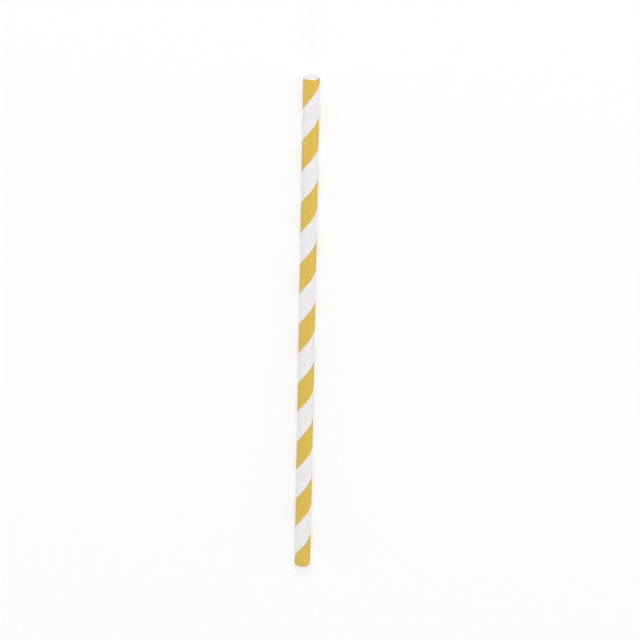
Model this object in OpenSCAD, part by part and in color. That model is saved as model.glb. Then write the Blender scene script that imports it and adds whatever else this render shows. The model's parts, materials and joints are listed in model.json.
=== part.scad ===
// Paper drinking straw: a thin tube wound from strips of white paper, with one gold spiral stripe.
// Sizes are in millimetres. The straw lies on the floor along X, with the end that is drunk from at +X.

/* [Straw] */
// Length from cut end to cut end
straw_len = 197; // [100:1:260]
// Diameter over the outside of the tube
outer_d = 6; // [5:0.5:12]
// Thickness of the wall, all glued strips together
wall = 0.4; // [0.3:0.05:0.6]
// Width of the faint flat that the tube lies on
rest_flat = 1.2; // [0.6:0.1:1.4]

/* [Winding] */
// Angle between the wound strips and the girth of the tube
wind_angle = 52; // [40:1:65]
// Thickness of the outermost strip, which carries the print
strip_t = 0.1; // [0.06:0.01:0.14]
// Width of the open seam between the edges of the outermost strip
seam_w = 0.12; // [0.08:0.01:0.3]
// Depth of that seam
seam_depth = 0.05; // [0.02:0.01:0.06]

/* [Print] */
// Part of the outermost strip's width that is gold, from 0 to 1
gold_share = 0.49; // [0.3:0.01:0.7]
// Length of gold at the end that is drunk from, along the topmost line of the tube
gold_at_tip = 7.2; // [0:0.1:20]

/* [Hidden] */
// Sides of the round shapes where they are shown as a mesh
round_sides = 96;

outer_r = outer_d / 2;
bore_r = outer_r - wall;
// Height of the tube's axis above the flat that it lies on
axis_h = sqrt(outer_r * outer_r - rest_flat * rest_flat / 4);

// Length of one full turn of the outermost strip, and how far past each end the cutting shapes run
pitch = PI * outer_d * tan(wind_angle);
past_end = 0.5;
cut_len = straw_len + 2 * past_end;
slices_per_turn = 24;

// Angles round the tube that the gold and the open seam take up in any cross-section
gold_span = 360 * gold_share;
seam_span = 360 * seam_w / (PI * outer_d * sin(wind_angle));
// Angle at which the gold starts in the lower end's cross-section, counted from the underside
gold_from = 180 - gold_span - 360 * (straw_len - gold_at_tip) / pitch;
// The seam runs along the middle of the white that the gold leaves
seam_from = gold_from + gold_span + (360 - gold_span - seam_span) / 2;

// Part of a ring, as a slice across the tube sees a wound strip
module ring_part(span) {
    cut_r = outer_r * 1.15;
    n_out = ceil(span / 36);
    n_in = ceil(span / 90);
    outside = [for (i = [0:n_out]) cut_r * [cos(span * i / n_out), sin(span * i / n_out)]];
    inside = [for (i = [n_in:-1:0]) bore_r * [cos(span * i / n_in), sin(span * i / n_in)]];
    polygon(concat(outside, inside));
}

// A strip that winds round the tube, right-handed, from one end past the other
module wound(from, span) {
    translate([0, 0, -past_end])
        rotate([0, 0, from - 360 * past_end / pitch])
            linear_extrude(
                height = cut_len,
                twist = -360 * cut_len / pitch,
                slices = ceil(slices_per_turn * cut_len / pitch),
                segments = 0,
                convexity = 12
            )
                ring_part(span);
}

// The tube's outer form as a solid bar, or that form a given depth below the skin
module bar(depth, extra) {
    side = outer_d + 2;
    intersection() {
        translate([0, 0, -extra])
            cylinder(r = outer_r - depth, h = straw_len + 2 * extra, $fn = round_sides);
        translate([axis_h - depth - side, -side / 2, -extra - 1])
            cube([side, side, straw_len + 2 * extra + 2]);
    }
}

// The outermost layer of the tube, down to a given depth
module skin(depth) {
    difference() {
        bar(0, 0);
        bar(depth, past_end);
    }
}

// The printed part of the outermost strip, flush with the white
module gold() {
    intersection() {
        skin(strip_t);
        wound(gold_from, gold_span);
    }
}

// The tube stands on its lower end in the modules above, and is laid down here
module lay_down() {
    translate([-straw_len / 2, 0, axis_h])
        rotate([0, 90, 0])
            children();
}

module paper_tube() {
    color([0.95, 0.95, 0.94])
        lay_down()
            difference() {
                bar(0, 0);
                translate([0, 0, -past_end])
                    cylinder(r = bore_r, h = cut_len, $fn = round_sides);
                gold();
                intersection() {
                    skin(seam_depth);
                    wound(seam_from, seam_span);
                }
            }
}

module gold_stripe() {
    color([0.85, 0.72, 0.32])
        lay_down()
            gold();
}

paper_tube();
gold_stripe();
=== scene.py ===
"""Looks of a paper drinking straw: a tube wound from strips of white paper, with a printed gold stripe.

The file is laid out as a Blender add-on and run as a script. Lengths are in metres, in the frame of the
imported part: the straw lies on the floor along X, with the end that is drunk from at +X.
"""

import json
import math
from collections import namedtuple

import bmesh
import bpy
import numpy as np
from bpy.props import FloatProperty, FloatVectorProperty, PointerProperty
from mathutils import Matrix, Vector


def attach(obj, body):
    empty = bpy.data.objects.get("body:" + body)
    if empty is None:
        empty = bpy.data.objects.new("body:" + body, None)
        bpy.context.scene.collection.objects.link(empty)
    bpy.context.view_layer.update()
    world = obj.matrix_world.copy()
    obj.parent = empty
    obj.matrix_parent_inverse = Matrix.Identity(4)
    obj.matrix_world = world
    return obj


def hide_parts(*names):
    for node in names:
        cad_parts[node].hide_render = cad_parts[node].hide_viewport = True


bl_info = {
    "name": "Paper drinking straw",
    "version": (1, 0, 0),
    "blender": (4, 5, 0),
    "location": "3D View > Sidebar > Straw",
    "description": "Builds a wound paper straw with a printed stripe, and the floor and lamps round it",
    "category": "Add Mesh",
}

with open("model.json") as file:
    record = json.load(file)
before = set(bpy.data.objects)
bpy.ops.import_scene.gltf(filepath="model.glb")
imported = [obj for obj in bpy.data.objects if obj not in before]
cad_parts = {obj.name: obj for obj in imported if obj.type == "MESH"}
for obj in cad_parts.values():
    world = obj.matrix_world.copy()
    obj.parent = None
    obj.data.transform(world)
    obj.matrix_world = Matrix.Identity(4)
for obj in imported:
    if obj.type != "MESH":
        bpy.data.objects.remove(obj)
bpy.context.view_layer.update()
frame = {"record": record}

MM = 0.001
# Name of the texture places on the flattened strip
STRIP_MAP = "Strip"
# Width of the square picture, in pixels
PICTURE_WIDTH = 640


def mount(name):
    """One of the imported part's measured places."""
    for found in frame["record"]["mounts"]:
        if found["name"] == name:
            return found
    raise RuntimeError(f"the packed part has no mount named {name}")


OUTSIDE_MOUNT = mount("outside")
BORE_MOUNT = mount("bore")


class StrawShape(bpy.types.PropertyGroup):
    """Sizes of the tube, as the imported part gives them."""

    length: FloatProperty(
        name="Length",
        description="From cut end to cut end",
        default=OUTSIDE_MOUNT["dims"]["length_mm"] * MM,
        min=0.05,
        max=0.4,
        unit="LENGTH",
    )
    outer_radius: FloatProperty(
        name="Outer radius",
        description="From the tube's axis to its skin",
        default=OUTSIDE_MOUNT["dims"]["r_mm"] * MM,
        min=0.002,
        max=0.008,
        precision=4,
        unit="LENGTH",
    )
    bore_radius: FloatProperty(
        name="Bore radius",
        description="From the tube's axis to the inside of the wall",
        default=BORE_MOUNT["dims"]["r_mm"] * MM,
        min=0.001,
        max=0.007,
        precision=4,
        unit="LENGTH",
    )
    axis_height: FloatProperty(
        name="Axis height",
        description="Height of the tube's axis above the flat that it lies on",
        default=OUTSIDE_MOUNT["pos_m"][2],
        min=0.001,
        max=0.008,
        precision=5,
        unit="LENGTH",
    )


class StrawWinding(bpy.types.PropertyGroup):
    """How the strips of paper are wound. The angle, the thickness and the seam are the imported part's."""

    wind_angle: FloatProperty(
        name="Winding angle",
        description="Angle between the strips and the girth of the tube",
        default=math.radians(52),
        min=math.radians(30),
        max=math.radians(75),
        subtype="ANGLE",
    )
    strip_thickness: FloatProperty(
        name="Outer strip thickness",
        description="Thickness of the outermost strip, which carries the print",
        default=0.1 * MM,
        min=0.02 * MM,
        max=0.2 * MM,
        precision=5,
        unit="LENGTH",
    )
    seam_width: FloatProperty(
        name="Seam width",
        description="Open seam between the edges of one strip",
        default=0.12 * MM,
        min=0.02 * MM,
        max=0.5 * MM,
        precision=5,
        unit="LENGTH",
    )
    seam_depth: FloatProperty(
        name="Seam depth",
        description="How deep the open seams are",
        default=0.05 * MM,
        min=0.01 * MM,
        max=0.1 * MM,
        precision=5,
        unit="LENGTH",
    )
    hidden_seam_dent: FloatProperty(
        name="Dent over hidden seams",
        description="How far the skin sinks where a seam of an inner strip passes below it",
        default=0.012 * MM,
        min=0.0,
        max=0.05 * MM,
        precision=5,
        unit="LENGTH",
    )
    cut_roughness: FloatProperty(
        name="Cut roughness",
        description="How uneven the knife left the cut ends",
        default=0.02 * MM,
        min=0.0,
        max=0.1 * MM,
        precision=5,
        unit="LENGTH",
    )


class StrawPrint(bpy.types.PropertyGroup):
    """The stripe along the outermost strip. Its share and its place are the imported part's."""

    gold_share: FloatProperty(
        name="Gold share",
        description="Part of the outermost strip's width that is gold",
        default=0.49,
        min=0.1,
        max=0.9,
        subtype="FACTOR",
    )
    gold_at_tip: FloatProperty(
        name="Gold at the tip",
        description="Length of gold at the end that is drunk from, along the topmost line",
        default=7.2 * MM,
        min=0.0,
        max=0.02,
        precision=4,
        unit="LENGTH",
    )
    edge_wander: FloatProperty(
        name="Edge wander",
        description="How far the stripe's edges stray from a true line",
        default=0.02 * MM,
        min=0.0,
        max=0.1 * MM,
        precision=5,
        unit="LENGTH",
    )


class StrawFinish(bpy.types.PropertyGroup):
    """Colours and gloss of the paper and the print."""

    paper: FloatVectorProperty(
        name="Paper",
        description="Colour of the white paper",
        default=(0.836, 0.825, 0.824),
        size=3,
        min=0,
        max=1,
        subtype="COLOR",
    )
    paper_thin: FloatVectorProperty(
        name="Paper, thin places",
        description="Colour of the paper where its fibres lie thin",
        default=(0.793, 0.783, 0.782),
        size=3,
        min=0,
        max=1,
        subtype="COLOR",
    )
    # Set lighter than the white paper: partly the inner strips' own colour, partly painted light that stands
    # in for the light falling into the bore.
    paper_inside_lightened: FloatVectorProperty(
        name="Paper, inner strips, lightened",
        description="Colour of the uncoated inner strips, which show inside the bore and in the cut ends",
        default=(0.945, 0.942, 0.932),
        size=3,
        min=0,
        max=1,
        subtype="COLOR",
    )
    paper_cut: FloatVectorProperty(
        name="Paper, cut",
        description="Colour of the cut ends, where torn fibres hold some of the light",
        default=(0.850, 0.845, 0.832),
        size=3,
        min=0,
        max=1,
        subtype="COLOR",
    )
    gold: FloatVectorProperty(
        name="Gold",
        description="Colour of the print where the ink is full",
        default=(0.667, 0.460, 0.076),
        size=3,
        min=0,
        max=1,
        subtype="COLOR",
    )
    gold_lean: FloatVectorProperty(
        name="Gold, lean places",
        description="Colour of the print where the ink is lean",
        default=(0.620, 0.435, 0.080),
        size=3,
        min=0,
        max=1,
        subtype="COLOR",
    )
    gold_metal: FloatProperty(
        name="Metal in the gold",
        description="How much of the ink acts as metal",
        default=0.35,
        min=0,
        max=1,
        subtype="FACTOR",
    )
    light_depth: FloatProperty(
        name="Light depth",
        description="How far light travels inside the paper",
        default=0.2 * MM,
        min=0.0,
        max=2 * MM,
        precision=5,
        unit="LENGTH",
    )
    fibre_length: FloatProperty(
        name="Fibre length",
        description="Length of the paper's fibres",
        default=1.6 * MM,
        min=0.2 * MM,
        max=5 * MM,
        precision=4,
        unit="LENGTH",
    )
    fibre_width: FloatProperty(
        name="Fibre width",
        description="Width of the paper's fibres",
        default=0.07 * MM,
        min=0.01 * MM,
        max=0.5 * MM,
        precision=5,
        unit="LENGTH",
    )


class StrawStage(bpy.types.PropertyGroup):
    """Floor, lamps and camera."""

    floor: FloatVectorProperty(
        name="Floor",
        description="Colour of the floor",
        default=(0.930, 0.930, 0.930),
        size=3,
        min=0,
        max=1,
        subtype="COLOR",
    )
    white_near: FloatProperty(
        name="White near",
        description="How much of plain white the floor is seen with near the straw",
        default=0.6,
        min=0,
        max=1,
        subtype="FACTOR",
    )
    white_from: FloatProperty(
        name="White from",
        description="Distance at which the floor starts to run out into white",
        default=0.8,
        min=0.1,
        max=10,
        unit="LENGTH",
    )
    white_beyond: FloatProperty(
        name="White beyond",
        description="Distance beyond which the floor is seen as plain white",
        default=3.0,
        min=0.1,
        max=12,
        unit="LENGTH",
    )
    sky_strength: FloatProperty(
        name="Soft light from all round",
        description="Strength of the light that comes from all sides",
        default=0.245,
        min=0,
        max=3,
    )
    end_power: FloatProperty(
        name="End lamp",
        description="Power of the large soft lamp beyond the end that is drunk from, which lights the bore",
        default=142.0,
        min=0,
        max=1000,
        unit="POWER",
    )
    low_power: FloatProperty(
        name="Low lamp",
        description="Power of the soft lamp near the floor beyond the lower end",
        default=24.0,
        min=0,
        max=1000,
        unit="POWER",
    )
    right_power: FloatProperty(
        name="Right lamp",
        description="Power of the large soft lamp on the right",
        default=30.0,
        min=0,
        max=1000,
        unit="POWER",
    )
    left_power: FloatProperty(
        name="Left lamp",
        description="Power of the large soft lamp on the left",
        default=25.0,
        min=0,
        max=1000,
        unit="POWER",
    )
    camera_elevation: FloatProperty(
        name="Camera elevation",
        description="Angle between the straw's axis and the line to the camera",
        default=math.radians(65.4),
        min=0,
        max=math.radians(90),
        subtype="ANGLE",
    )
    camera_distance: FloatProperty(
        name="Camera distance",
        description="From the middle of the straw's axis",
        default=1.232,
        min=0.1,
        max=10,
        unit="LENGTH",
    )
    pixels_focal: FloatProperty(
        name="Focal length in pixels",
        description=f"Focal length of the camera, in pixels of a picture {PICTURE_WIDTH} pixels wide",
        default=3340,
        min=100,
        max=20000,
    )
    lean: FloatProperty(
        name="Lean",
        description="How far the straw leans to the right in the picture",
        default=math.radians(1.077),
        min=-1,
        max=1,
        subtype="ANGLE",
    )
    middle_right: FloatProperty(
        name="Middle, right",
        description="Where the middle of the straw is in the picture, in pixels right of its centre",
        default=-13.2,
        min=-PICTURE_WIDTH / 2,
        max=PICTURE_WIDTH / 2,
    )
    middle_up: FloatProperty(
        name="Middle, up",
        description="Where the middle of the straw is in the picture, in pixels above its centre",
        default=-8.1,
        min=-PICTURE_WIDTH / 2,
        max=PICTURE_WIDTH / 2,
    )


class StrawSettings(bpy.types.PropertyGroup):
    """All that can be changed about the straw and its stage."""

    shape: PointerProperty(type=StrawShape)
    winding: PointerProperty(type=StrawWinding)
    stripe: PointerProperty(type=StrawPrint)
    finish: PointerProperty(type=StrawFinish)
    stage: PointerProperty(type=StrawStage)


# Winding geometry

FULL_TURN = 2 * math.pi
# Materials of the faces, by number: the skin, the cut ends, and the uncoated inside
SKIN, CUT, BORE = range(3)
# A ring of points, with the places of its columns on the flattened strip and on the cut end
Ring = namedtuple("Ring", "kind points on_strip on_cut")

# Waves of the stripe's edges, in turns per metre, and of the cut ends, in turns per girth. Each has its
# start in radians, and its share.
EDGE_WAVES = ((1 / (9.1 * MM), 0.4, 1.0), (1 / (4.7 * MM), 2.2, 0.7), (1 / (2.9 * MM), 4.1, 0.5))
CUT_WAVES = ((2, 0.3, 0.8), (5, 1.9, 1.0), (9, 4.4, 0.8), (14, 0.9, 0.6), (23, 3.1, 0.5))
# How far along its waves the gold's second edge starts, so that it doesn't repeat the first
SECOND_EDGE_START = 1.7

# Half the width of the dent that a hidden seam leaves in the skin
DENT_HALF_WIDTH = 0.35 * MM
# Width beside the stripe's edges in which they move the columns of the mesh with them
WANDER_REACH = 1.0 * MM
# Distance between the rows of the mesh, and from the cut end to the first row
SKIN_STEP, SKIN_INSET = 0.45 * MM, 0.12 * MM
BORE_STEP, BORE_INSET = 0.8 * MM, 0.25 * MM
# Columns over the gold, and over each side of the white
GOLD_COLUMNS, WHITE_COLUMNS = 40, 20
# How far the columns at a border of the gold are moved apart inside the bore
BORDER_GAP = math.radians(0.8)
# Edges steeper than this stay sharp
SHARP_FROM = math.radians(38)

# Places across a seam in half widths, and the share of its depth there
SEAM_STEPS = np.array((-1.7, -1.1, -0.8, -0.4, 0.4, 0.8, 1.1, 1.7))
SEAM_SHAPE = np.array((0.0, 0.12, 0.85, 1.0, 1.0, 0.85, 0.12, 0.0))

# Steps of the cut end. Each is a place through the wall, from 0 at the bore to 1 at the skin, and how far it
# lies inside the cut, in millimetres. The wall is three strips thick, and a fine groove shows between them.
INNER_ROUND = ((0.0, 0.060), (0.02, 0.022), (0.07, 0.0))
FIRST_PLY = ((0.30, 0.0), (0.36, 0.006), (0.375, 0.028), (0.39, 0.006), (0.45, 0.0))
SECOND_PLY = ((0.68, 0.0), (0.735, 0.006), (0.75, 0.028), (0.765, 0.006), (0.82, 0.0))
OUTER_ROUND = ((0.93, 0.0), (0.98, 0.016), (1.0, 0.05))
WHITE_CUT = INNER_ROUND + FIRST_PLY + SECOND_PLY + OUTER_ROUND
# Below the gold, the tube ends at the groove under the outermost strip.
BELOW_GOLD = ((0.49, 0.0), (0.53, 0.0), (0.57, 0.0), (0.61, 0.0), (0.65, 0.0))
GOLD_CUT = INNER_ROUND + FIRST_PLY + BELOW_GOLD + SECOND_PLY[:3]
# Steps of the printed strip's own end: how far its skin is rounded off, and how far its skin and its
# underside lie inside the cut, all in millimetres
GOLD_END = ((0.030, 0.0, 0.028), (0.010, 0.016, 0.036), (0.0, 0.05, 0.05))


def ripple(at, waves):
    """A smooth uneven line between -1 and 1."""
    total = sum(share for _, _, share in waves)
    return sum(share * np.sin(FULL_TURN * turns * at + start) for turns, start, share in waves) / total


def away_from(phase, border):
    """How far a phase lies from a border, the shorter way round."""
    return (phase - border + math.pi) % FULL_TURN - math.pi


class Winding:
    """The spiral that every strip follows. Phases and angles are in radians, and z is the distance from the
    lower end. Angles count from the underside of the tube, by way of +Y, and phases from the gold's start."""

    def __init__(self, settings):
        shape, winding, stripe = settings.shape, settings.winding, settings.stripe
        self.length = shape.length
        self.outer = shape.outer_radius
        self.bore = shape.bore_radius
        self.axis_height = shape.axis_height
        self.thickness = winding.strip_thickness
        self.dent = winding.hidden_seam_dent
        self.seam_depth = winding.seam_depth
        self.wander = stripe.edge_wander
        self.cut_roughness = winding.cut_roughness
        self.girth = FULL_TURN * self.outer
        self.pitch = self.girth * math.tan(winding.wind_angle)
        self.turn_length = math.hypot(self.pitch, self.girth)
        self.gold = FULL_TURN * stripe.gold_share
        self.start = math.pi - self.gold - FULL_TURN * (self.length - stripe.gold_at_tip) / self.pitch
        self.seam = self.gold + (FULL_TURN - self.gold) / 2
        self.half_seam = winding.seam_width / (2 * self.outer * math.sin(winding.wind_angle))
        # The three strips lap each other by a third of a turn, so the inner ones' seams lie below the skin.
        third = FULL_TURN / 3
        self.hidden_seams = ((self.seam + third) % FULL_TURN, (self.seam - third) % FULL_TURN)
        # The innermost strip's seam is open inside the bore.
        self.inner_seam = self.hidden_seams[1]

    def turned(self, z):
        """Angle of phase 0."""
        return self.start + FULL_TURN * z / self.pitch

    def dents(self, phase):
        """How far the skin sinks over the seams of the inner strips."""
        aways = (away_from(phase, seam) * self.outer / DENT_HALF_WIDTH for seam in self.hidden_seams)
        return sum(self.dent * np.exp(-(away**2)) for away in aways)

    def strayed(self, phase, z):
        """Phase with the wander of the print's edges, which fades away beside each edge."""
        along = z * self.turn_length / self.pitch
        moved = phase
        for edge, start in ((0.0, 0.0), (self.gold, SECOND_EDGE_START)):
            near = np.clip(1 - np.abs(away_from(phase, edge)) * self.outer / WANDER_REACH, 0, 1)
            moved = moved + near * self.wander / self.outer * ripple(along + start, EDGE_WAVES)
        return moved

    def uneven(self, angle):
        """How far the cut end lies inside a true plane."""
        return self.cut_roughness * (0.5 + 0.5 * ripple(angle / FULL_TURN, CUT_WAVES))

    def placed(self, z, radius, angle, reach):
        """Points of the tube, which rests on a flat: they go no further below the axis than reach."""
        down = np.minimum(radius * np.cos(angle), reach)
        return np.stack([z - self.length / 2, radius * np.sin(angle), self.axis_height - down], -1)

    def on_strip(self, z, around):
        """Places on the flattened strip, in metres: along it, and across it."""
        along = (z * self.pitch + around * self.girth) / self.turn_length
        across = (around * self.pitch - z * self.girth) / self.turn_length
        return np.stack([along, across], -1)

    def on_cut(self, z, radius, angle):
        """Places on a cut end, in metres: round it, and through the wall and on over its rounded edges."""
        middle = (self.bore + self.outer) / 2
        inside = np.minimum(z, self.length - z)
        through = np.where(radius < middle, radius - inside, radius + inside)
        return np.stack([middle * angle, through], -1)

    def ring(self, kind, z, radius, angle, reach, closing_turn):
        """A ring of columns, closed by a copy of its first column that lies closing_turn further round."""
        z, radius, angle, reach = np.broadcast_arrays(z, radius, angle, reach)
        points = self.placed(z, radius, angle, reach)
        z, radius = np.append(z, z[0]), np.append(radius, radius[0])
        angle = np.append(angle, angle[0] + closing_turn)
        around = angle * (self.bore if kind == BORE else self.outer)
        return Ring(kind, points, self.on_strip(z, around), self.on_cut(z, radius, angle))


def rows(length, step, inset):
    """Distances from the lower end, evenly spaced between the two cut ends."""
    return np.linspace(inset, length - inset, max(2, round(length / step)))


def gold_phases(winding):
    """Phases across the gold, close together over the innermost seam."""
    seam = winding.inner_seam + winding.half_seam * SEAM_STEPS
    return np.union1d(np.linspace(0, winding.gold, GOLD_COLUMNS), seam[(seam > 0) & (seam < winding.gold)])


def tube_columns(winding):
    """Five values for each column of the tube: its phase, whether it lies below the gold, how deep its skin
    lies, its phase inside the bore, and how deep its groove there is."""
    gold = gold_phases(winding)
    seam = winding.seam + winding.half_seam * SEAM_STEPS
    before = np.linspace(winding.gold, seam[0], WHITE_COLUMNS + 1)[:-1]
    after = np.linspace(seam[-1], FULL_TURN, WHITE_COLUMNS + 1)[1:]
    phase = np.concatenate([gold, before, seam, after])
    below_gold = np.arange(len(phase)) < len(gold)
    depth = np.where(below_gold, winding.thickness, 0.0)
    depth[len(gold) + len(before) : -len(after)] = winding.seam_depth * SEAM_SHAPE
    steps = winding.inner_seam + winding.half_seam * SEAM_STEPS
    groove = winding.seam_depth * np.interp(phase, steps, SEAM_SHAPE, left=0, right=0)
    # The two columns at a border of the gold share a phase, and stand apart inside the bore.
    inside = phase.copy()
    inside[[0, len(gold)]] += BORDER_GAP
    inside[[len(gold) - 1, -1]] -= BORDER_GAP
    return phase, below_gold, depth, inside, groove


def tube_rings(winding):
    """Rings of the tube: up the bore, out over the upper cut, down the skin, and in over the lower cut."""
    phase, below_gold, depth, inside, groove = tube_columns(winding)
    bore, outer = winding.bore, winding.outer
    skin = outer - depth - winding.dents(phase)
    skin_reach = winding.axis_height - depth
    wall_below_gold = 1 - winding.thickness / (outer - bore)

    def bore_ring(z):
        return winding.ring(BORE, z, bore + groove, inside + winding.turned(z), outer, FULL_TURN)

    def skin_ring(z):
        angle = winding.strayed(phase, z) + winding.turned(z)
        return winding.ring(SKIN, z, skin, angle, skin_reach, FULL_TURN)

    def cut_ring(upper, white_step, gold_step):
        through = np.where(below_gold, gold_step[0] / wall_below_gold, white_step[0])
        lowered = np.where(below_gold, gold_step[1], white_step[1]) * MM
        grooved_bore = bore + groove * (1 - through)
        radius = grooved_bore + (skin - grooved_bore) * through
        z_cut = winding.length if upper else 0.0
        angle = inside + (winding.strayed(phase, z_cut) - inside) * through + winding.turned(z_cut)
        inset = lowered + winding.uneven(angle)
        reach = bore + (radius - bore) / (skin - bore) * (skin_reach - bore)
        return winding.ring(CUT, z_cut - inset if upper else inset, radius, angle, reach, FULL_TURN)

    steps = list(zip(WHITE_CUT, GOLD_CUT))
    rings = [bore_ring(z) for z in rows(winding.length, BORE_STEP, BORE_INSET)]
    rings += [cut_ring(True, *step) for step in steps]
    rings += [skin_ring(z) for z in reversed(rows(winding.length, SKIN_STEP, SKIN_INSET))]
    rings += [cut_ring(False, *step) for step in reversed(steps)]
    return rings


def stripe_rings(winding):
    """Rings of the printed strip from the lower end to the upper. Each runs out along the skin and back below
    it. The second value is how many columns lie on the skin."""
    gold = gold_phases(winding)
    phase = np.concatenate([gold, gold[::-1]])
    below = np.arange(len(phase)) >= len(gold)
    skin = winding.outer - winding.dents(phase)

    def strip_ring(z, rounded=0.0, inset=0.0):
        depth = np.where(below, winding.thickness, rounded)
        angle = winding.strayed(phase, z) + winding.turned(z)
        return winding.ring(SKIN, z + inset, skin - depth, angle, winding.axis_height - depth, 0.0)

    def end_ring(upper, step):
        rounded, skin_inset, below_inset = (value * MM for value in step)
        z_cut = winding.length if upper else 0.0
        angle = winding.strayed(phase, z_cut) + winding.turned(z_cut)
        inset = np.where(below, below_inset, skin_inset) + winding.uneven(angle)
        return strip_ring(z_cut, rounded, -inset if upper else inset)

    rings = [end_ring(False, step) for step in GOLD_END]
    rings += [strip_ring(z) for z in rows(winding.length, SKIN_STEP, SKIN_INSET)]
    rings += [end_ring(True, step) for step in reversed(GOLD_END)]
    return rings, len(gold)


def add_face(bm, corners, places, number):
    """Adds a four-sided face with its places on the strip or the cut, and the number of its material."""
    # Such a face is split between its first and third corner, which has to be the shorter way.
    if (corners[0].co - corners[2].co).length > (corners[1].co - corners[3].co).length:
        corners, places = corners[1:] + corners[:1], places[1:] + places[:1]
    face = bm.faces.new(corners)
    face.smooth = True
    face.material_index = number
    uv = bm.loops.layers.uv[STRIP_MAP]
    for loop, place in zip(face.loops, places):
        loop[uv].uv = place


def straw_mesh(rings, closed, painted):
    """A mesh from rings of columns, and its points by ring. closed says that the last ring meets the first.
    painted(low ring, high ring, column) gives the number of a face's material."""
    bm = bmesh.new()
    bm.loops.layers.uv.new(STRIP_MAP)
    verts = [[bm.verts.new(point) for point in ring.points] for ring in rings]
    columns = len(verts[0])
    for low in range(len(rings) if closed else len(rings) - 1):
        high = (low + 1) % len(rings)
        for column in range(columns):
            after = (column + 1) % columns
            number = painted(rings[low], rings[high], column)
            if number == CUT:
                low_places, high_places = rings[low].on_cut, rings[high].on_cut
            else:
                low_places, high_places = rings[low].on_strip, rings[high].on_strip
            corners = [verts[low][column], verts[low][after], verts[high][after], verts[high][column]]
            places = [*low_places[column : column + 2], *high_places[column : column + 2][::-1]]
            add_face(bm, corners, places, number)
    return bm, verts


def close_strip_end(bm, points, places, columns):
    """Closes an end of the printed strip, between its skin and its underside."""
    for column in range(columns - 1):
        below = len(points) - 1 - column
        around = (column, column + 1, below - 1, below)
        add_face(bm, [points[at] for at in around], [places[at] for at in around], CUT)


def finished_piece(name, bm, materials, node):
    """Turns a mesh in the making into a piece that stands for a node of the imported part."""
    bmesh.ops.recalc_face_normals(bm, faces=bm.faces[:])
    mesh = bpy.data.meshes.new(name)
    bm.to_mesh(mesh)
    bm.free()
    for material in materials:
        mesh.materials.append(material)
    mesh.set_sharp_from_angle(angle=SHARP_FROM)
    piece = bpy.data.objects.new(name, mesh)
    bpy.context.scene.collection.objects.link(piece)
    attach(piece, "root")
    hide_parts(node)


# Shader node groups and materials

# Height of the relief that the fibres give the paper, and how strongly it shows in plain and in printed paper
RELIEF_HEIGHT = 0.02 * MM
PAPER_RELIEF, PRINT_RELIEF = 0.35, 0.25
# Angle between the fibres that lie along the strip and those that cross them
FIBRE_CROSSING = math.radians(38)
# Shares that go into a mix: of the crossing fibres, of the clouds, and of the paper's density below the ink
CROSSING_SHARE, CLOUD_SHARE, DENSITY_SHARE = 0.35, 0.6, 0.4
# Parts of the noises that are stretched to 0..1. The print is missed only where its noise peaks.
FIBRE_RANGE, CLOUD_RANGE = (0.35, 0.65), (0.33, 0.67)
STREAK_RANGE, SPECK_RANGE = (0.36, 0.66), (0.77, 0.85)
# How many finer layers the noises have, and how much those count
FINE_LAYERS, COARSE_LAYERS, LAYER_SHARE = 3, 2, 0.6
# Colour of the thin places of inner and of cut paper, as a share of their full colour
INNER_THIN, CUT_THIN = 0.96, 0.93
# Roughness of thin and of dense paper, of lean and of full ink, and across the floor's grain
PAPER_ROUGHNESS, PRINT_ROUGHNESS, FLOOR_ROUGHNESS = (0.62, 0.52), (0.56, 0.48), (0.88, 0.96)
# Gloss levels of paper, print and floor
PAPER_SPECULAR, PRINT_SPECULAR, FLOOR_SPECULAR = 0.35, 0.3, 0.1
# How far red, green and blue light travel in paper, as shares of the light depth
LIGHT_SHARES = (1.0, 0.97, 0.92)
# Grains of the floor in a metre
FLOOR_GRAIN = 900


def put(tree, kind, x, y, **values):
    """Adds a node at a place in its tree and sets its values."""
    made = tree.nodes.new(kind)
    made.location = (x, y)
    for name, value in values.items():
        setattr(made, name, value)
    return made


def join(tree, source, target):
    """Links an output to an input."""
    tree.links.new(source, target)


def give(tree, socket, value):
    """Links an output to an input, or sets the input to a plain number or colour."""
    if isinstance(value, bpy.types.NodeSocket):
        join(tree, value, socket)
    elif isinstance(value, (int, float)):
        socket.default_value = value
    else:
        socket.default_value = (*value, 1)


def new_group(name, inputs, outputs):
    """An empty shader group with named inputs and outputs."""
    tree = bpy.data.node_groups.new(name, "ShaderNodeTree")
    for label, value in inputs:
        socket = tree.interface.new_socket(label, in_out="INPUT", socket_type="NodeSocketFloat")
        socket.default_value = value
    for label in outputs:
        tree.interface.new_socket(label, in_out="OUTPUT", socket_type="NodeSocketFloat")
    return tree, put(tree, "NodeGroupInput", -1200, 0), put(tree, "NodeGroupOutput", 900, 0)


def strip_places(tree, x, y):
    """Places on the flattened strip in millimetres."""
    flat = put(tree, "ShaderNodeUVMap", x, y, uv_map=STRIP_MAP)
    scaled = put(tree, "ShaderNodeVectorMath", x + 180, y, operation="SCALE")
    scaled.inputs["Scale"].default_value = 1 / MM
    join(tree, flat.outputs["UV"], scaled.inputs[0])
    return scaled.outputs["Vector"]


def marks(tree, places, long, wide, layers, x, y):
    """Noise over the flattened strip, as marks of a length and a width."""
    sizes = put(tree, "ShaderNodeCombineXYZ", x, y - 160)
    give(tree, sizes.inputs["X"], long)
    give(tree, sizes.inputs["Y"], wide)
    sizes.inputs["Z"].default_value = 1
    counted = put(tree, "ShaderNodeVectorMath", x + 180, y, operation="DIVIDE")
    join(tree, places, counted.inputs[0])
    join(tree, sizes.outputs["Vector"], counted.inputs[1])
    noise = put(tree, "ShaderNodeTexNoise", x + 360, y, noise_dimensions="2D")
    noise.inputs["Scale"].default_value = 1
    noise.inputs["Detail"].default_value = layers
    noise.inputs["Roughness"].default_value = LAYER_SHARE
    join(tree, counted.outputs["Vector"], noise.inputs["Vector"])
    return noise.outputs["Fac"]


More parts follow.
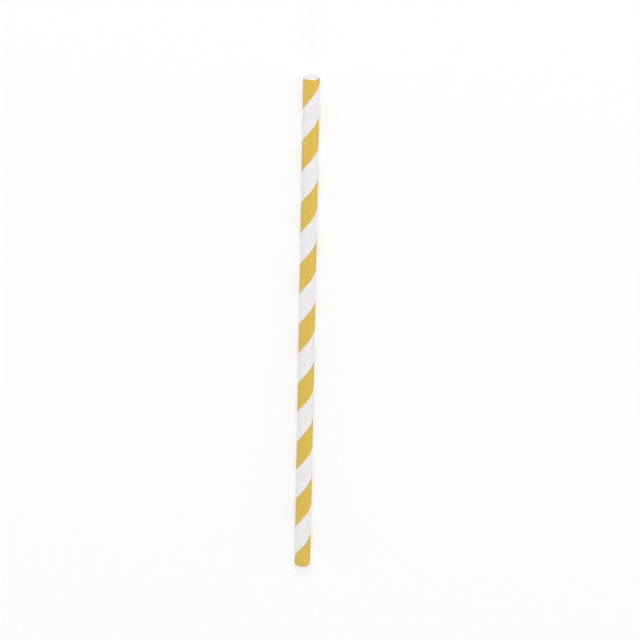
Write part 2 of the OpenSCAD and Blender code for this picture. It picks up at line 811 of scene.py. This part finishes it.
def spread(tree, value, limits, x, y):
    """Stretches a range of values to 0..1."""
    made = put(tree, "ShaderNodeMapRange", x, y)
    for label, limit in zip(("From Min", "From Max"), limits):
        made.inputs[label].default_value = limit
    join(tree, value, made.inputs["Value"])
    return made.outputs["Result"]


def range_to(tree, value, limits, x, y):
    """Turns 0..1 into a range of values."""
    made = put(tree, "ShaderNodeMapRange", x, y)
    for label, limit in zip(("To Min", "To Max"), limits):
        made.inputs[label].default_value = limit
    join(tree, value, made.inputs["Value"])
    return made.outputs["Result"]


def blended(tree, share, first, second, x, y):
    """Mixes two values: share is how much of the second goes in."""
    made = put(tree, "ShaderNodeMix", x, y, data_type="FLOAT")
    made.inputs["Factor"].default_value = share
    join(tree, first, made.inputs["A"])
    join(tree, second, made.inputs["B"])
    return made.outputs["Result"]


def two_colours(tree, factor, first, second, x, y):
    """Mixes two colours by a factor that varies."""
    made = put(tree, "ShaderNodeMix", x, y, data_type="RGBA")
    colour_inputs = {socket.name: socket for socket in made.inputs if socket.type == "RGBA"}
    give(tree, colour_inputs["A"], first)
    give(tree, colour_inputs["B"], second)
    join(tree, factor, made.inputs["Factor"])
    return next(socket for socket in made.outputs if socket.type == "RGBA")


def paper_fibre_group():
    """Fibres of machine-made paper, most of them along the strip: their relief and how densely they lie."""
    found = bpy.data.node_groups.get("Paper fibres")
    if found:
        return found
    inputs = (("Fibre length", 1.4), ("Fibre width", 0.07), ("Cloud size", 1.8))
    tree, given, out = new_group("Paper fibres", inputs, ("Relief", "Density"))
    length, width, cloud_size = (given.outputs[label] for label, _ in inputs)
    places = strip_places(tree, -1000, 200)
    turned = put(tree, "ShaderNodeVectorRotate", -850, -100, rotation_type="Z_AXIS")
    turned.inputs["Angle"].default_value = FIBRE_CROSSING
    join(tree, places, turned.inputs["Vector"])
    along = marks(tree, places, length, width, FINE_LAYERS, -600, 200)
    across = marks(tree, turned.outputs["Vector"], length, width, COARSE_LAYERS, -600, -120)
    clouds = marks(tree, places, cloud_size, cloud_size, FINE_LAYERS, -600, -420)
    fibres = blended(tree, CROSSING_SHARE, along, across, 0, 100)
    join(tree, fibres, out.inputs["Relief"])
    close = spread(tree, fibres, FIBRE_RANGE, 150, 0)
    cloudy = spread(tree, clouds, CLOUD_RANGE, 0, -420)
    join(tree, blended(tree, CLOUD_SHARE, close, cloudy, 350, -200), out.inputs["Density"])
    return tree


def ink_lay_group():
    """How ink lies on paper: streaks along the strip where it is fuller, and specks that it missed."""
    found = bpy.data.node_groups.get("Ink lay")
    if found:
        return found
    inputs = (("Streak length", 7.0), ("Streak width", 0.8), ("Speck size", 0.11))
    tree, given, out = new_group("Ink lay", inputs, ("Fullness", "Missed"))
    length, width, speck_size = (given.outputs[label] for label, _ in inputs)
    places = strip_places(tree, -1000, 200)
    streaks = marks(tree, places, length, width, FINE_LAYERS, -600, 200)
    specks = marks(tree, places, speck_size, speck_size, COARSE_LAYERS, -600, -150)
    join(tree, spread(tree, streaks, STREAK_RANGE, 0, 200), out.inputs["Fullness"])
    join(tree, spread(tree, specks, SPECK_RANGE, 0, -150), out.inputs["Missed"])
    return tree


def fibres_in(tree, finish, x, y):
    """Places the fibres in a material, at the size that the finish gives."""
    made = put(tree, "ShaderNodeGroup", x, y, node_tree=paper_fibre_group())
    made.inputs["Fibre length"].default_value = finish.fibre_length / MM
    made.inputs["Fibre width"].default_value = finish.fibre_width / MM
    return made


def new_material(name):
    """A material with a Principled shader and nothing else."""
    material = bpy.data.materials.new(name)
    material.use_nodes = True
    tree = material.node_tree
    tree.nodes.clear()
    out = put(tree, "ShaderNodeOutputMaterial", 1100, 0)
    shader = put(tree, "ShaderNodeBsdfPrincipled", 600, 0)
    join(tree, shader.outputs["BSDF"], out.inputs["Surface"])
    return material, tree, shader


def relief(tree, height, strength, x, y):
    """A fine bump."""
    made = put(tree, "ShaderNodeBump", x, y)
    made.inputs["Strength"].default_value = strength
    made.inputs["Distance"].default_value = RELIEF_HEIGHT
    join(tree, height, made.inputs["Height"])
    return made.outputs["Normal"]


def plain_paper(name, finish, full, thin):
    """Smooth paper, with its fibres and a faint cloudiness."""
    found = bpy.data.materials.get(name)
    if found:
        return found
    material, tree, shader = new_material(name)
    fibres = fibres_in(tree, finish, -400, 0)
    density = fibres.outputs["Density"]
    join(tree, two_colours(tree, density, thin, full, 200, 200), shader.inputs["Base Color"])
    join(tree, range_to(tree, density, PAPER_ROUGHNESS, 200, 0), shader.inputs["Roughness"])
    join(tree, relief(tree, fibres.outputs["Relief"], PAPER_RELIEF, 200, -250), shader.inputs["Normal"])
    shader.inputs["Specular IOR Level"].default_value = PAPER_SPECULAR
    shader.inputs["Subsurface Weight"].default_value = 1
    shader.inputs["Subsurface Scale"].default_value = finish.light_depth
    shader.inputs["Subsurface Radius"].default_value = LIGHT_SHARES
    return material


def white_paper(finish):
    """The outermost strip, white where it isn't printed."""
    return plain_paper("White paper", finish, finish.paper, finish.paper_thin)


def inner_paper_lightened(finish):
    """The uncoated inner strips, in a colour lighter than the white paper: painted light inside the bore."""
    thin = tuple(INNER_THIN * value for value in finish.paper_inside_lightened)
    return plain_paper("Inner paper", finish, finish.paper_inside_lightened, thin)


def cut_paper(finish):
    """The cut ends of all the strips."""
    thin = tuple(CUT_THIN * value for value in finish.paper_cut)
    return plain_paper("Cut paper", finish, finish.paper_cut, thin)


def gold_print(finish):
    """Satin gold ink on paper. The paper's fibres show through it as relief."""
    found = bpy.data.materials.get("Gold print")
    if found:
        return found
    material, tree, shader = new_material("Gold print")
    fibres = fibres_in(tree, finish, -600, -200)
    ink = put(tree, "ShaderNodeGroup", -600, 200, node_tree=ink_lay_group())
    missed = ink.outputs["Missed"]
    fullness = blended(tree, DENSITY_SHARE, ink.outputs["Fullness"], fibres.outputs["Density"], -300, 100)
    tone = two_colours(tree, fullness, finish.gold_lean, finish.gold, 0, 300)
    join(tree, two_colours(tree, missed, tone, finish.paper_thin, 250, 300), shader.inputs["Base Color"])
    join(tree, range_to(tree, missed, (finish.gold_metal, 0.0), 250, 100), shader.inputs["Metallic"])
    join(tree, range_to(tree, fullness, PRINT_ROUGHNESS, 250, -100), shader.inputs["Roughness"])
    join(tree, relief(tree, fibres.outputs["Relief"], PRINT_RELIEF, 250, -350), shader.inputs["Normal"])
    shader.inputs["Specular IOR Level"].default_value = PRINT_SPECULAR
    return material


def seen_rays(tree, x, y):
    """1 for rays that are seen, from the camera, by gloss or through glass, and 0 for all others."""
    path = put(tree, "ShaderNodeLightPath", x, y)
    gloss = put(tree, "ShaderNodeMath", x + 200, y, operation="MAXIMUM")
    join(tree, path.outputs["Is Camera Ray"], gloss.inputs[0])
    join(tree, path.outputs["Is Glossy Ray"], gloss.inputs[1])
    through = put(tree, "ShaderNodeMath", x + 400, y, operation="MAXIMUM")
    join(tree, gloss.outputs["Value"], through.inputs[0])
    join(tree, path.outputs["Is Transmission Ray"], through.inputs[1])
    return through.outputs["Value"]


def pale_floor(stage):
    """Plain pale matt floor. It is seen whiter than it is, and as plain white where it is far away."""
    material, tree, shader = new_material("Pale floor")
    place = put(tree, "ShaderNodeTexCoord", -700, 0)
    grain = put(tree, "ShaderNodeTexNoise", -300, 0)
    grain.inputs["Scale"].default_value = FLOOR_GRAIN
    join(tree, place.outputs["Object"], grain.inputs["Vector"])
    join(tree, range_to(tree, grain.outputs["Fac"], FLOOR_ROUGHNESS, -100, 0), shader.inputs["Roughness"])
    shader.inputs["Base Color"].default_value = (*stage.floor, 1)
    shader.inputs["Specular IOR Level"].default_value = FLOOR_SPECULAR
    away = put(tree, "ShaderNodeVectorMath", -500, 400, operation="LENGTH")
    join(tree, place.outputs["Object"], away.inputs[0])
    whiteness = put(tree, "ShaderNodeMapRange", -300, 400, interpolation_type="SMOOTHSTEP")
    whiteness.inputs["From Min"].default_value = stage.white_from
    whiteness.inputs["From Max"].default_value = stage.white_beyond
    whiteness.inputs["To Min"].default_value = stage.white_near
    join(tree, away.outputs["Value"], whiteness.inputs["Value"])
    seen = put(tree, "ShaderNodeMath", 300, 400, operation="MULTIPLY")
    join(tree, whiteness.outputs["Result"], seen.inputs[0])
    join(tree, seen_rays(tree, -300, 700), seen.inputs[1])
    white = put(tree, "ShaderNodeEmission", 600, 300)
    both = put(tree, "ShaderNodeMixShader", 850, 200)
    join(tree, seen.outputs["Value"], both.inputs["Fac"])
    join(tree, shader.outputs["BSDF"], both.inputs[1])
    join(tree, white.outputs["Emission"], both.inputs[2])
    join(tree, both.outputs["Shader"], tree.get_output_node("ALL").inputs["Surface"])
    return material


# Stage

# Name of each soft lamp, the setting that holds its power, its place and its size
LAMPS = (
    ("End lamp", "end_power", (2.8, 0.0, 2.8), 3.2),
    ("Low lamp", "low_power", (-3.0, 0.0, 0.5), 0.9),
    ("Right lamp", "right_power", (0.3, -2.7, 1.3), 2.4),
    ("Left lamp", "left_power", (0.3, 2.7, 1.3), 2.4),
)
# How far the floor reaches from its middle
FLOOR_REACH = 12.0
# Width of the camera's sensor in millimetres, and the distances between which it sees
SENSOR_WIDTH = 36
SEEN_FROM, SEEN_TO = 0.01, 50


def soft_sky(strength):
    """Even white light from all round, seen as plain white."""
    world = bpy.data.worlds.new("Soft sky")
    bpy.context.scene.world = world
    world.use_nodes = True
    tree = world.node_tree
    tree.nodes.clear()
    out = put(tree, "ShaderNodeOutputWorld", 600, 0)
    both = put(tree, "ShaderNodeMixShader", 300, 0)
    join(tree, seen_rays(tree, -500, 300), both.inputs["Fac"])
    for number, y, level in ((1, 100, strength), (2, -100, 1.0)):
        light = put(tree, "ShaderNodeBackground", 0, y)
        light.inputs["Color"].default_value = (1, 1, 1, 1)
        light.inputs["Strength"].default_value = level
        join(tree, light.outputs["Background"], both.inputs[number])
    join(tree, both.outputs["Shader"], out.inputs["Surface"])


def soft_lamp(name, place, size, power):
    """A square soft lamp that points at the straw."""
    data = bpy.data.lights.new(name, "AREA")
    data.shape = "SQUARE"
    data.size = size
    data.energy = power
    lamp = bpy.data.objects.new(name, data)
    lamp.location = place
    lamp.rotation_mode = "QUATERNION"
    lamp.rotation_quaternion = (-Vector(place)).to_track_quat("-Z", "Y")
    bpy.context.scene.collection.objects.link(lamp)


def plain_floor(stage):
    """The floor that the straw lies on."""
    bm = bmesh.new()
    bmesh.ops.create_grid(bm, x_segments=1, y_segments=1, size=FLOOR_REACH)
    mesh = bpy.data.meshes.new("floor")
    bm.to_mesh(mesh)
    bm.free()
    mesh.materials.append(pale_floor(stage))
    floor = bpy.data.objects.new("floor", mesh)
    bpy.context.scene.collection.objects.link(floor)


def picture_camera(stage, axis_height):
    """A long lens that looks down on the straw. The end that is drunk from is near the picture's top."""
    raised, lean, focal = stage.camera_elevation, stage.lean, stage.pixels_focal
    back = Vector((math.cos(raised), 0, math.sin(raised)))
    level_right = Vector((0, -1, 0))
    level_up = Vector((math.sin(raised), 0, -math.cos(raised)))
    right = level_right * math.cos(lean) + level_up * math.sin(lean)
    up = level_up * math.cos(lean) - level_right * math.sin(lean)
    aim = (-back - right * (stage.middle_right / focal) - up * (stage.middle_up / focal)).normalized()
    right = (right - aim * right.dot(aim)).normalized()
    up = right.cross(aim)
    data = bpy.data.cameras.new("Camera")
    data.sensor_width = SENSOR_WIDTH
    data.lens = focal * SENSOR_WIDTH / PICTURE_WIDTH
    data.clip_start = SEEN_FROM
    data.clip_end = SEEN_TO
    camera = bpy.data.objects.new("Camera", data)
    turn = Matrix((right, up, -aim)).transposed().to_4x4()
    middle = Vector((0, 0, axis_height))
    camera.matrix_world = Matrix.Translation(middle + back * stage.camera_distance) @ turn
    bpy.context.scene.collection.objects.link(camera)
    bpy.context.scene.camera = camera


# Operators, panel and registration


class STRAW_OT_wind_tube(bpy.types.Operator):
    """Winds the white paper tube"""

    bl_idname = "straw.wind_tube"
    bl_label = "Wind the tube"

    def execute(self, context):
        settings = context.scene.paper_straw

        def painted(low, high, column):
            return CUT if CUT in (low.kind, high.kind) else low.kind

        bm, _ = straw_mesh(tube_rings(Winding(settings)), True, painted)
        finish = settings.finish
        materials = (white_paper(finish), cut_paper(finish), inner_paper_lightened(finish))
        finished_piece("paper_tube_wound", bm, materials, "paper_tube")
        return {"FINISHED"}


class STRAW_OT_print_stripe(bpy.types.Operator):
    """Makes the printed part of the outermost strip"""

    bl_idname = "straw.print_stripe"
    bl_label = "Print the stripe"

    def execute(self, context):
        settings = context.scene.paper_straw
        rings, columns = stripe_rings(Winding(settings))

        def painted(low, high, column):
            return SKIN if column < columns - 1 else BORE

        bm, verts = straw_mesh(rings, False, painted)
        close_strip_end(bm, verts[0], rings[0].on_cut, columns)
        close_strip_end(bm, verts[-1], rings[-1].on_cut, columns)
        finish = settings.finish
        materials = (gold_print(finish), cut_paper(finish), inner_paper_lightened(finish))
        finished_piece("gold_stripe_printed", bm, materials, "gold_stripe")
        return {"FINISHED"}


class STRAW_OT_set_stage(bpy.types.Operator):
    """Lays the floor and places the lamps and the camera"""

    bl_idname = "straw.set_stage"
    bl_label = "Set the stage"

    def execute(self, context):
        settings = context.scene.paper_straw
        stage = settings.stage
        context.scene.view_settings.view_transform = "Standard"
        plain_floor(stage)
        soft_sky(stage.sky_strength)
        for name, power, place, size in LAMPS:
            soft_lamp(name, place, size, getattr(stage, power))
        picture_camera(stage, settings.shape.axis_height)
        return {"FINISHED"}


class STRAW_PT_panel(bpy.types.Panel):
    """Lists the straw's settings and steps"""

    bl_idname = "STRAW_PT_panel"
    bl_label = "Paper drinking straw"
    bl_space_type = "VIEW_3D"
    bl_region_type = "UI"
    bl_category = "Straw"

    def draw(self, context):
        settings = context.scene.paper_straw
        for part in (settings.shape, settings.winding, settings.stripe, settings.finish, settings.stage):
            box = self.layout.box()
            for name in part.__annotations__:
                box.prop(part, name)
        for step in STEPS:
            self.layout.operator(step.bl_idname)


GROUPS = (StrawShape, StrawWinding, StrawPrint, StrawFinish, StrawStage, StrawSettings)
STEPS = (STRAW_OT_wind_tube, STRAW_OT_print_stripe, STRAW_OT_set_stage)


def register():
    """Adds the settings, the steps and the panel."""
    for part in (*GROUPS, *STEPS, STRAW_PT_panel):
        bpy.utils.register_class(part)
    bpy.types.Scene.paper_straw = PointerProperty(type=StrawSettings)


def unregister():
    """Takes the settings, the steps and the panel out again."""
    del bpy.types.Scene.paper_straw
    for part in reversed((*GROUPS, *STEPS, STRAW_PT_panel)):
        bpy.utils.unregister_class(part)


def main():
    """Builds the straw and its stage."""
    register()
    bpy.ops.straw.wind_tube()
    bpy.ops.straw.print_stripe()
    bpy.ops.straw.set_stage()


if __name__ == "__main__":
    main()
